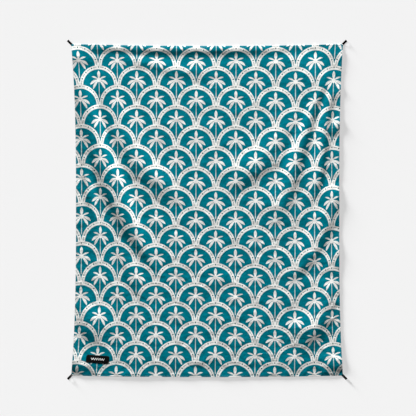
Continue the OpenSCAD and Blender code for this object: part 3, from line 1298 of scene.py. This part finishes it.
class Finishes:
    """Builds every material of the blanket once."""

    def __init__(self, palette: Palette) -> None:
        """Builds the shared effects, and then the materials."""
        self.palette = palette
        self.weave = plain_weave_group()
        self.fibre = fibre_group()
        self.twist = twist_group()
        self.face = self._printed_face()
        self.wadding = self._wadding()
        self.backing = self._coated_backing()
        self.tape = self._tape()
        self.label = self._label()
        self.needle = self._thread(palette.needle)
        self.black = self._thread(palette.black)
        self.seam = self._thread(palette.seam)

    def _printed_face(self) -> bpy.types.Material:
        """Builds the printed, lightly brushed polyester."""
        palette = self.palette
        material, g, shader = palette.teal.start()
        place = g.print_map()
        masks = g.use(PalmPrint().group(), Place=place)
        fibre = g.use(self.fibre, Place=place, Size=0.008)
        weave = g.use(self.weave, Place=place, Thread=0.9 * MM)
        ground = palette.teal.toned(g, fibre["Tone"], spread=0.16)
        # Painted shade: the cream darkens in the weave's gaps, where shade falls between the
        # threads.
        cream = g.mix(g.mul(weave["Gap"], 0.25), (*palette.cream, 1.0), (*palette.gap_shade, 1.0))
        color = g.mix(g.mul(masks["Trunk"], 0.95), ground, (*palette.trunk, 1.0))
        color = g.mix(masks["Light"], color, cream)
        color = g.mix(g.mul(masks["Vein"], 0.45), color, (*palette.vein, 1.0))
        color = g.mix(g.mul(masks["Bead"], 0.95), color, (*palette.bead, 1.0))
        g.put(shader.inputs["Base Color"], color)
        g.put(shader.inputs["Roughness"], palette.teal.rough(g, fibre["Nap"], spread=0.12))
        wrinkle = g.noise(place, 34.0, detail=3.0, roughness=0.55)
        soft = g.bump(wrinkle, 2.4 * MM)
        nap = g.bump(fibre["Nap"], 0.35 * MM, soft)
        g.put(shader.inputs["Normal"], g.bump(weave["Height"], 0.12 * MM, nap))
        return material

    def _wadding(self) -> bpy.types.Material:
        """Builds the loose polyester wadding."""
        finish = self.palette.wadding
        material, g, shader = finish.start()
        fibre = g.use(self.fibre, Place=g.object_place(), Size=0.012)
        g.put(shader.inputs["Base Color"], finish.toned(g, fibre["Tone"], spread=0.08))
        g.put(shader.inputs["Roughness"], finish.rough(g, fibre["Nap"], spread=0.04))
        g.put(shader.inputs["Normal"], g.bump(fibre["Nap"], 0.8 * MM))
        return material

    def _coated_backing(self) -> bpy.types.Material:
        """Builds the coated ripstop: a fine weave with a grid of heavier threads."""
        finish = self.palette.backing
        material, g, shader = finish.start()
        place = g.print_map()
        weave = g.use(self.weave, Place=place, Thread=0.45 * MM)
        fibre = g.use(self.fibre, Place=place, Size=0.03)
        x, y, _ = g.split(g.scaled(place, 1 / (6 * MM)))
        edge = []
        for value in (x, y):
            gap = g.absolute(g.sub(g.math("FRACT", value), 0.5))
            edge.append(g.ramp(gap, 0.055, 0.025))
        rib = g.larger(edge[0], edge[1])
        tone = g.add(g.mul(fibre["Tone"], 0.5), g.mul(rib, 0.5))
        g.put(shader.inputs["Base Color"], finish.toned(g, tone, spread=0.35))
        g.put(shader.inputs["Roughness"], finish.rough(g, fibre["Tone"], spread=0.08))
        ribbed = g.bump(rib, 0.25 * MM)
        crease = g.noise(place, 55.0, detail=4.0, roughness=0.6)
        crinkle = g.bump(crease, 1.6 * MM, ribbed)
        g.put(shader.inputs["Normal"], g.bump(weave["Height"], 0.06 * MM, crinkle))
        return material

    def _tape(self) -> bpy.types.Material:
        """Builds the loops' narrow woven tape, ribbed across and bound at its edges, with painted
        shade between its ribs.
        """
        finish = self.palette.tape
        material, g, shader = finish.start()
        place = g.print_map()
        along, across, _ = g.split(place)
        rib = g.crests(along, 1.1 * MM)
        cord = g.crests(across, 0.8 * MM)
        woven = g.mul(rib, g.math("POWER", cord, 0.4))
        fibre = g.use(self.fibre, Place=g.object_place(), Size=0.003)
        # Painted shade and highlight: the colour follows the weave's relief, darker between the
        # ribs and lighter on them. It sits over a random fibre tone.
        tone = g.add(g.mul(woven, 0.6), g.mul(fibre["Tone"], 0.4))
        g.put(shader.inputs["Base Color"], finish.toned(g, tone, spread=0.55))
        g.put(shader.inputs["Roughness"], finish.rough(g, fibre["Nap"], spread=0.1))
        g.put(shader.inputs["Normal"], g.bump(woven, 0.25 * MM))
        return material

    def _label(self) -> bpy.types.Material:
        """Builds the woven label: black, with a plain light zigzag along its middle."""
        finish = self.palette.label
        material, g, shader = finish.start()
        place = g.print_map()
        along, across, _ = g.split(place)
        weave = g.use(self.weave, Place=place, Thread=0.5 * MM)
        fibre = g.use(self.fibre, Place=place, Size=0.004)
        step = g.math("DIVIDE", along, 13 * MM)
        peak = g.absolute(g.sub(g.math("FRACT", step), 0.5))
        line = g.mul(g.sub(peak, 0.25), 20 * MM)
        off = g.absolute(g.sub(across, line))
        reach = g.ramp(g.absolute(along), 39.3 * MM, 38.7 * MM)
        zigzag = g.mul(g.ramp(off, 2.9 * MM, 2.4 * MM), reach)
        ground = finish.toned(g, fibre["Tone"], spread=0.4)
        color = g.mix(zigzag, ground, (*self.palette.motif, 1.0))
        g.put(shader.inputs["Base Color"], color)
        g.put(shader.inputs["Roughness"], finish.rough(g, fibre["Nap"], spread=0.1))
        raised = g.add(weave["Height"], g.mul(zigzag, 0.8))
        g.put(shader.inputs["Normal"], g.bump(raised, 0.12 * MM))
        return material

    def _thread(self, finish: Finish) -> Thread:
        """Builds a twisted sewing thread, with painted shade between its plies and painted
        highlight on them.
        """
        material, g, shader = finish.start()
        place = g.object_place()
        twist = g.use(self.twist, Place=place, Ply=0.5 * MM)
        fibre = g.use(self.fibre, Place=place, Size=0.002)
        # Painted shade and highlight: the colour is darker in the grooves between the plies and
        # lighter on their crests.
        g.put(shader.inputs["Base Color"], finish.toned(g, twist["Height"], spread=0.3))
        g.put(shader.inputs["Roughness"], finish.rough(g, fibre["Tone"], spread=0.1))
        g.put(shader.inputs["Normal"], g.bump(twist["Height"], 0.08 * MM))
        return Thread(material, stitch_tree(material))


# ---------------------------------------------------------------- the blanket's pieces


def finish_piece(piece: bpy.types.Object, material: bpy.types.Material, slot: str, body: str,
                 *nodes: str) -> bpy.types.Object:
    """Dresses a piece, ties it to its body and hides the nodes that it stands for.

    Args:
        piece: The finished mesh.
        material: Its finish.
        slot: The frame's material slot; not used.
        body: The body that it rides on, or an empty name for a piece that is tied to no body.
        *nodes: The frame's nodes that it replaces.

    Returns:
        The same piece.
    """
    piece.data.materials.clear()
    piece.data.materials.append(material)
    if body:
        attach(piece, body)
    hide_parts(*nodes)
    log.info("%s: %d faces", piece.name, len(piece.data.polygons))
    return piece


@dataclass
class Cloths:
    """The three layers of cloth: printed face, wadding and coated backing."""

    layers: Layers
    finishes: Finishes

    def build(self) -> tuple[bpy.types.Object, bpy.types.Object, bpy.types.Object]:
        """Makes the three layers."""
        backing = self._backing()
        wadding = self._wadding()
        face = self._face()
        return face, wadding, backing

    def _face(self) -> bpy.types.Object:
        """Makes the printed face, whose edge rolls under and fills the rim."""
        layers, layout = self.layers, self.layers.layout
        a, b = layers.grid()
        d = layers.edge_distance(a, b)
        middle = layout.rim_h - layout.face_t
        roll = edge_roll(d, layout.face_t)
        field_top = layers.field(a, b)
        top = middle + (field_top - middle) * roll
        inside = smoothstep(12.4 * MM, 13.6 * MM, d)
        hem = middle - (middle - layout.backing_t - 0.02 * MM) * roll
        bottom = hem + (field_top - layout.face_t - hem) * inside
        piece = shell("printed_face_cloth", layers.place(a, b, top), layers.place(a, b, bottom),
                      layers.printed(a, b))
        return finish_piece(piece, self.finishes.face, "printed_face", BLANKET_BODY, "face_fabric")

    def _wadding(self) -> bpy.types.Object:
        """Makes the wadding, which stops inside the rim."""
        layers, layout = self.layers, self.layers.layout
        a, b = layers.grid()
        start = int(np.searchsorted(layers.lines_x, -layout.cut_w / 2 + layout.rim_w + 1.5 * MM))
        inner = (slice(start, -start), slice(start, -start))
        a, b = a[inner], b[inner]
        ease = 0.05 * MM
        low = np.full(a.shape, layout.backing_t + ease)
        high = layers.field(a, b) - layout.face_t - ease
        edge = np.zeros(a.shape, dtype=bool)
        edge[[0, -1], :] = True
        edge[:, [0, -1]] = True
        high = np.where(edge, (low + high) / 2, high)
        piece = shell("wadding_sheet", layers.place(a, b, high), layers.place(a, b, low),
                      layers.printed(a, b))
        return finish_piece(piece, self.finishes.wadding, "wadding", BLANKET_BODY, "padding")

    def _backing(self) -> bpy.types.Object:
        """Makes the coated backing, dented along the topstitching."""
        layers, layout = self.layers, self.layers.layout
        a, b = layers.grid()
        d = layers.edge_distance(a, b)
        half = layout.backing_t / 2
        roll = edge_roll(d, half)
        dent = 0.28 * MM * groove(d, layout.topstitch_in, 1.5 * MM)
        piece = shell("ripstop_backing", layers.place(a, b, half + half * roll),
                      layers.place(a, b, half - half * roll + dent), layers.printed(a, b))
        return finish_piece(piece, self.finishes.backing, "coated_backing", BLANKET_BODY,
                            "backing_fabric")


@dataclass
class EdgeSewing:
    """The rows of stitches that run all round the blanket."""

    layers: Layers
    finishes: Finishes
    topstitch: StitchRow = StitchRow(pitch=3.2 * MM, length=2.9 * MM, width=0.62 * MM,
                                     height=0.42 * MM)
    bobbin: StitchRow = StitchRow(pitch=3.2 * MM, length=2.9 * MM, width=0.5 * MM,
                                  height=0.2 * MM, segments=6, rings=5)
    hidden: StitchRow = StitchRow(pitch=3.0 * MM, length=2.8 * MM, width=0.5 * MM,
                                  height=0.25 * MM, segments=6, rings=4)

    def build(self) -> None:
        """Sews the topstitching's two threads and the hidden seam."""
        layout, finishes = self.layers.layout, self.finishes
        for name, node, row, inset, height, thread, slot in (
                ("topstitch_needle_thread", "edge_needle_thread", self.topstitch,
                 layout.topstitch_in, layout.rim_h - 0.24 * MM, finishes.needle, "face_thread"),
                ("topstitch_bobbin_thread", "edge_bobbin_thread", self.bobbin,
                 layout.topstitch_in, 0.14 * MM, finishes.black, "black_thread"),
                ("hidden_seam_thread", "construction_seam", self.hidden,
                 layout.seam_in, layout.backing_t + 0.15 * MM, finishes.seam, "seam_thread")):
            path, up = self._route(inset, height)
            sewn = row.sew(name, path, up, True, thread)
            finish_piece(sewn, thread.material, slot, BLANKET_BODY, node)

    def _route(self, inset: float, height: float) -> tuple[Grid, Grid]:
        """Gives a row's path at a distance from the edge, and the way up along it."""
        layers, layout = self.layers, self.layers.layout
        half_a, half_b = layout.cut_w / 2 - inset, layout.cut_l / 2 - inset
        a = layers.lines_x[np.abs(layers.lines_x) < half_a - 1 * MM]
        b = layers.lines_y[np.abs(layers.lines_y) < half_b - 1 * MM]
        across = np.concatenate([a, np.full(len(b), half_a), a[::-1], np.full(len(b), -half_a)])
        along = np.concatenate([np.full(len(a), -half_b), b, np.full(len(a), half_b), b[::-1]])
        path = layers.place(across, along, np.full(across.shape, height))
        return path, layers.upright(across, along)


@dataclass
class Label:
    """The woven patch near the foot left corner, and the thread that holds it.

    Attributes:
        layers: The blanket's layers.
        finishes: The blanket's materials.
        length: Length of the patch.
        width: Width of the patch.
        thickness: Thickness of the patch.
        tilt: Clockwise tilt of the patch.
        corner_r: Radius of its corners.
        stitch_in: Distance from its edge to its stitches.
        row: The stitches that hold it.
    """

    layers: Layers
    finishes: Finishes
    length: float = 135 * MM
    width: float = 44 * MM
    thickness: float = 0.8 * MM
    tilt: float = math.radians(3.5)
    corner_r: float = 12 * MM
    stitch_in: float = 3 * MM
    row: StitchRow = StitchRow(pitch=2.6 * MM, length=2.3 * MM, width=0.5 * MM, height=0.32 * MM)

    def build(self) -> bpy.types.Object:
        """Makes the patch and sews it on."""
        fine = np.array([0, 0.12, 0.4, 0.8, 1.4, 2.2, 3, 3.8, 5, 6.5]) * MM
        spacing = 2.5 * MM
        x, y = np.meshgrid(grid_lines(self.length / 2, fine, spacing),
                           grid_lines(self.width / 2, fine, spacing))
        x, y = round_corners(x, y, self.length / 2, self.width / 2, self.corner_r)
        d = self._edge_distance(x, y)
        half = self.thickness / 2
        roll = edge_roll(d, half)
        sunk = 0.1 * MM
        dent = 0.15 * MM * groove(d, self.stitch_in, 0.9 * MM)
        top = half + half * roll - sunk - dent
        patch = shell("woven_label", self._on_face(x, y, top),
                      self._on_face(x, y, half - half * roll - sunk), np.stack([x, y], axis=-1))
        finish_piece(patch, self.finishes.label, "label_weave", BLANKET_BODY, "label_patch")
        self._sew()
        return patch

    def _edge_distance(self, x: Grid, y: Grid) -> Grid:
        """Gives the distance from the patch's rounded edge."""
        in_x = np.abs(x) - (self.length / 2 - self.corner_r)
        in_y = np.abs(y) - (self.width / 2 - self.corner_r)
        outside = np.hypot(np.maximum(in_x, 0), np.maximum(in_y, 0))
        return np.maximum(self.corner_r - np.where(outside > 0, outside, np.maximum(in_x, in_y)), 0)

    def _flat_place(self, x: Grid, y: Grid) -> tuple[Grid, Grid]:
        """Gives the cloth's own coordinates of places on the patch."""
        low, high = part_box("label_patch")
        layout = self.layers.layout
        u, v = self.layers.cloth.point_at((low[0] + high[0]) / 2, (low[1] + high[1]) / 2)
        a, b = u * layout.cut_w / 2, v * layout.cut_l / 2
        cos, sin = math.cos(-self.tilt), math.sin(-self.tilt)
        return a + x * cos - y * sin, b + x * sin + y * cos

    def _on_face(self, x: Grid, y: Grid, height: Grid) -> Grid:
        """Gives places at a height above the printed face."""
        a, b = self._flat_place(x, y)
        return self.layers.place(a, b, self.layers.field(a, b) + height)

    def _sew(self) -> None:
        """Sews the patch down all round."""
        r = self.corner_r - self.stitch_in
        half_l, half_w = self.length / 2 - self.stitch_in, self.width / 2 - self.stitch_in
        angles = np.linspace(0, math.pi / 2, 7)
        rows = []
        for quarter, (sx, sy) in enumerate(((1, 1), (-1, 1), (-1, -1), (1, -1))):
            turn = angles + quarter * math.pi / 2
            rows.append(np.stack([sx * (half_l - r) + r * np.cos(turn),
                                  sy * (half_w - r) + r * np.sin(turn)], axis=-1))
        outline = np.vstack(rows)
        x, y = outline[:, 0], outline[:, 1]
        a, b = self._flat_place(x, y)
        path = self._on_face(x, y, np.full(x.shape, self.thickness - 0.2 * MM))
        thread = self.finishes.black
        sewn = self.row.sew("label_thread", path, self.layers.upright(a, b), True, thread)
        finish_piece(sewn, thread.material, "black_thread", BLANKET_BODY, "label_stitching")


@dataclass
class StakeLoop:
    """A loop of tape caught in one corner's seam, with the bar tack that holds it.

    Attributes:
        layers: The blanket's layers.
        finishes: The blanket's materials.
        corner: The corner that it is sewn into.
        hinge: The point that the loop turns about; not used.
        tape_w: Width of the tape.
        tape_t: Thickness of the tape.
        pressed_t: Thickness of the tape where it is pressed in the seam.
        tack: The stitches of its bar tack.
        tack_half: Half of the bar tack's length.
        tack_points: Number of points along the bar tack.
    """

    layers: Layers
    finishes: Finishes
    corner: Corner
    hinge: Vector
    tape_w: float = 12 * MM
    tape_t: float = 1.0 * MM
    pressed_t: float = 0.56 * MM
    tack: StitchRow = StitchRow(pitch=0.46 * MM, length=1.7 * MM, width=0.44 * MM,
                                height=0.4 * MM, turn=math.pi / 2)
    tack_half: float = 5.1 * MM
    tack_points: int = 11

    def build(self) -> None:
        """Makes the tape as one strip, and its bar tack."""
        name = "stake_loop_" + self.corner.label
        tape = self._tape("tape_loop_" + self.corner.label)
        finish_piece(tape, self.finishes.tape, "loop_tape", "", name,
                     "loop_tail_" + self.corner.label)
        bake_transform(tape)
        self._bar_tack()

    def _route(self) -> tuple[np.ndarray, np.ndarray]:
        """Gives the tape's route outwards and back, and its thickness along it.

        The first column is the distance outwards from the corner, the second the height. They
        are written in millimetres here.
        """
        bight_s, bight_z, bight_r = 24.6, 3.4, 2.9
        turn = np.linspace(-math.pi / 2, math.pi / 2, 9)
        bight = np.stack([bight_s + bight_r * np.cos(turn), bight_z + bight_r * np.sin(turn)], 1)
        lower = [(-13.5, 0.92), (-9, 0.92), (-4, 0.92), (-0.5, 0.88), (1.6, 0.72), (4.8, 0.52),
                 (9, 0.5), (14, 0.5), (20, 0.5)]
        upper = [(20, 6.3), (15, 6.28), (10.5, 6.0), (7.6, 4.3), (4.8, 2.45), (1.6, 1.68),
                 (-0.5, 1.5), (-4, 1.48), (-9, 1.48), (-13.5, 1.48)]
        route = catmull_rom(np.vstack([lower, bight, upper]), 4)
        free = smoothstep(0, 6, route[:, 0])
        thickness = self.pressed_t + (self.tape_t - self.pressed_t) * free
        return route * MM, thickness

    def _tape(self, name: str) -> bpy.types.Object:
        """Sweeps the tape's section along its route."""
        route, thickness = self._route()
        heading = np.gradient(route, axis=0)
        heading /= np.linalg.norm(heading, axis=1, keepdims=True)
        square = np.stack([-heading[:, 1], heading[:, 0]], axis=1)
        turn = np.linspace(0, 2 * math.pi, 22, endpoint=False)
        side = np.sign(np.cos(turn)) * np.abs(np.cos(turn))**0.35
        rise = np.sign(np.sin(turn)) * np.abs(np.sin(turn))**0.7
        sx, sy = self.corner.value
        layout = self.layers.layout
        outward = np.array([sx, sy, 0]) / math.sqrt(2)
        sideways = np.array([-sy, sx, 0]) / math.sqrt(2)
        base = np.array([sx * layout.width / 2, sy * layout.length / 2, 0])
        rings, maps = [], []
        walked = np.concatenate([[0], np.cumsum(np.linalg.norm(np.diff(route, axis=0), axis=1))])
        for point, normal, thick, reach in zip(route, square, thickness, walked):
            s = point[0] + normal[0] * rise * thick / 2
            z = point[1] + normal[1] * rise * thick / 2
            off = side * self.tape_w / 2
            rings.append(base + s[:, None] * outward + off[:, None] * sideways
                         + z[:, None] * np.array([0, 0, 1]))
            maps.append(np.stack([np.full(off.shape, reach), off], axis=1))
        return self._swept(name, rings, maps, sx * sy)

    def _swept(self, name: str, rings: list[np.ndarray], maps: list[np.ndarray],
               handed: int) -> bpy.types.Object:
        """Joins rings of points into a closed tube with flat ends.

        Args:
            name: The piece's name.
            rings: The points of each section.
            maps: The print map of each section.
            handed: 1 or -1, as the corner turns the section.

        Returns:
            The tape, with its faces outwards.
        """
        count, around = len(rings), len(rings[0])
        faces = []
        for i in range(count - 1):
            for j in range(around):
                k = (j + 1) % around
                faces.append((i * around + j, i * around + k, (i + 1) * around + k,
                              (i + 1) * around + j))
        faces.append(tuple(reversed(range(around))))
        faces.append(tuple(range((count - 1) * around, count * around)))
        mesh = bpy.data.meshes.new(name)
        mesh.from_pydata(np.vstack(rings).tolist(), [], faces)
        add_print_map(mesh, np.vstack(maps))
        mesh.shade_smooth()
        point_outwards(mesh)
        return add_object(name, mesh)

    def _bar_tack(self) -> None:
        """Sews the bar of stitches across the tape's ends."""
        node = "bar_tack_" + self.corner.label
        low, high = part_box(node)
        middle = np.array([(low[0] + high[0]) / 2, (low[1] + high[1]) / 2, low[2] + 0.02 * MM])
        sx, sy = self.corner.value
        sideways = np.array([-sy, sx, 0]) / math.sqrt(2)
        reach = np.linspace(-self.tack_half, self.tack_half, self.tack_points)
        path = middle + reach[:, None] * sideways
        up = np.tile(np.array([0.0, 0.0, 1.0]), (len(path), 1))
        thread = self.finishes.black
        sewn = self.tack.sew("satin_tack_" + self.corner.label, path, up, False, thread)
        finish_piece(sewn, thread.material, "black_thread", BLANKET_BODY, node)


def point_outwards(mesh: bpy.types.Mesh) -> None:
    """Turns a closed mesh's faces outwards."""
    shape = bmesh.new()
    shape.from_mesh(mesh)
    bmesh.ops.recalc_face_normals(shape, faces=shape.faces)
    shape.to_mesh(mesh)
    shape.free()


# ---------------------------------------------------------------- floor, light and camera


@dataclass
class Studio:
    """A pale floor with its own soft lights, a low lamp for the blanket, and a camera overhead.

    Attributes:
        view_width: Width of the ground that the camera sees.
        camera_height: Height of the camera.
        aim: The place on the ground in the middle of the view.
        floor_half: Half of the floor's width.
        lamp_place: Where the lamp stands, beyond the head edge.
        lamp_power: The lamp's power.
        lamp_size: The lamp's radius.
        lamp_reach: How steeply its strength rises with distance.
        floor_lights: Name, direction, power and angle in degrees of the floor's lights.
        room_light: Strength of the even light that falls on everything.
        wall_light: How bright the walls look to the camera.
    """

    view_width: float = 2.297
    camera_height: float = 7.0
    aim: tuple[float, float] = (0.005, 0.010)
    floor_half: float = 6.0
    lamp_place: tuple[float, float, float] = (0.0, 3.3, 0.56)
    lamp_power: float = 2680
    lamp_size: float = 0.35
    lamp_reach: float = 2.6
    floor_lights: tuple[tuple[str, tuple[float, float, float], float, float], ...] = (
        ("floor_light", (0.0, 0.0, 1.0), 2.1, 20),
        ("floor_slant", (-1.0, 1.0, 0.15), 10.4, 9))
    room_light: float = 0.06
    wall_light: float = 0.90

    def build(self) -> None:
        """Makes the floor, the light and the camera."""
        floor = self._floor()
        self._sky()
        self._light_all_but(floor, self._lamp())
        for name, towards, strength, softness in self.floor_lights:
            self._light_only(floor, self._sun(name, Vector(towards), strength, softness))
        self._camera()
        bpy.context.scene.view_settings.view_transform = "Standard"

    def _floor(self) -> bpy.types.Object:
        """Makes the floor, a plain pale sheet."""
        floor = ground_square("floor", self.floor_half)
        paint = Finish("pale_floor", (0.83, 0.83, 0.83), roughness=0.9, specular=0.1)
        material, g, shader = paint.start()
        tone = g.noise(g.object_place(), 3.0)
        g.put(shader.inputs["Base Color"], paint.toned(g, tone, spread=0.004))
        floor.data.materials.append(material)
        return floor

    def _sky(self) -> None:
        """Fills the room with faint even light, and shows pale walls to the camera."""
        world = bpy.data.worlds.new("room_light")
        world.use_nodes = True
        background = world.node_tree.nodes["Background"]
        background.inputs["Color"].default_value = (1.0, 1.0, 1.0, 1.0)
        g = Graph(world.node_tree)
        seen = world.node_tree.nodes.new("ShaderNodeLightPath").outputs["Is Camera Ray"]
        g.put(background.inputs["Strength"],
              g.math("MULTIPLY_ADD", seen, self.wall_light - self.room_light, self.room_light))
        bpy.context.scene.world = world

    def _light_only(self, item: bpy.types.Object, lamp: bpy.types.Object) -> None:
        """Makes a light shine on one thing alone."""
        lit = bpy.data.collections.new(lamp.name + "_lit")
        lit.objects.link(item)
        lamp.light_linking.receiver_collection = lit

    def _light_all_but(self, item: bpy.types.Object, lamp: bpy.types.Object) -> None:
        """Makes a light shine on everything but one thing."""
        self._light_only(item, lamp)
        lit = lamp.light_linking.receiver_collection
        lit.collection_objects[0].light_linking.link_state = "EXCLUDE"

    def _lamp(self) -> bpy.types.Object:
        """Makes the low lamp beyond the head edge.

        A real lamp this near would leave the foot edge dark. Its strength rises with distance here,
        so that it lights the whole blanket evenly and only its direction changes.
        """
        place = Vector(self.lamp_place)
        data = bpy.data.lights.new("key_lamp", "POINT")
        data.energy = self.lamp_power
        data.shadow_soft_size = self.lamp_size
        data.use_nodes = True
        g = Graph(data.node_tree)
        path = data.node_tree.nodes.new("ShaderNodeLightPath")
        far = g.math("DIVIDE", path.outputs["Ray Length"], place.length)
        shine = data.node_tree.nodes["Emission"]
        g.put(shine.inputs["Strength"], g.math("POWER", far, self.lamp_reach))
        lamp = add_object("key_lamp", data)
        lamp.location = place
        return lamp

    def _sun(self, name: str, towards: Vector, strength: float,
             softness: float) -> bpy.types.Object:
        """Adds a distant soft light.

        Args:
            name: The light's name.
            towards: Direction from the blanket to the light.
            strength: Its power.
            softness: The angle that it fills, in degrees.

        Returns:
            The light.
        """
        data = bpy.data.lights.new(name, "SUN")
        data.energy = strength
        data.angle = math.radians(softness)
        lamp = add_object(name, data)
        lamp.rotation_euler = towards.to_track_quat("Z", "Y").to_euler()
        lamp.location = towards * 4
        return lamp

    def _camera(self) -> None:
        """Points the camera straight down, with the head edge at the top of the view."""
        data = bpy.data.cameras.new("camera")
        data.sensor_width = 36.0
        data.lens = data.sensor_width * self.camera_height / self.view_width
        data.clip_end = 50.0
        camera = add_object("camera", data)
        camera.location = (*self.aim, self.camera_height)
        bpy.context.scene.camera = camera


def main() -> None:
    """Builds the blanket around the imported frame."""
    logging.basicConfig(level=logging.INFO, format="%(name)s: %(message)s")
    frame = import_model()
    Studio().build()
    layout = Layout.from_frame()
    layers = Layers(layout, LaidCloth(layout))
    finishes = Finishes(Palette())
    Cloths(layers, finishes).build()
    EdgeSewing(layers, finishes).build()
    Label(layers, finishes).build()
    turns = {joint["child"]: joint for joint in frame["record"]["behaviour"]["joints"]}
    for corner in Corner:
        joint = turns["stake_loop_" + corner.label]
        StakeLoop(layers, finishes, corner, Vector(joint["pos_m"])).build()


if __name__ == "__main__":
    main()
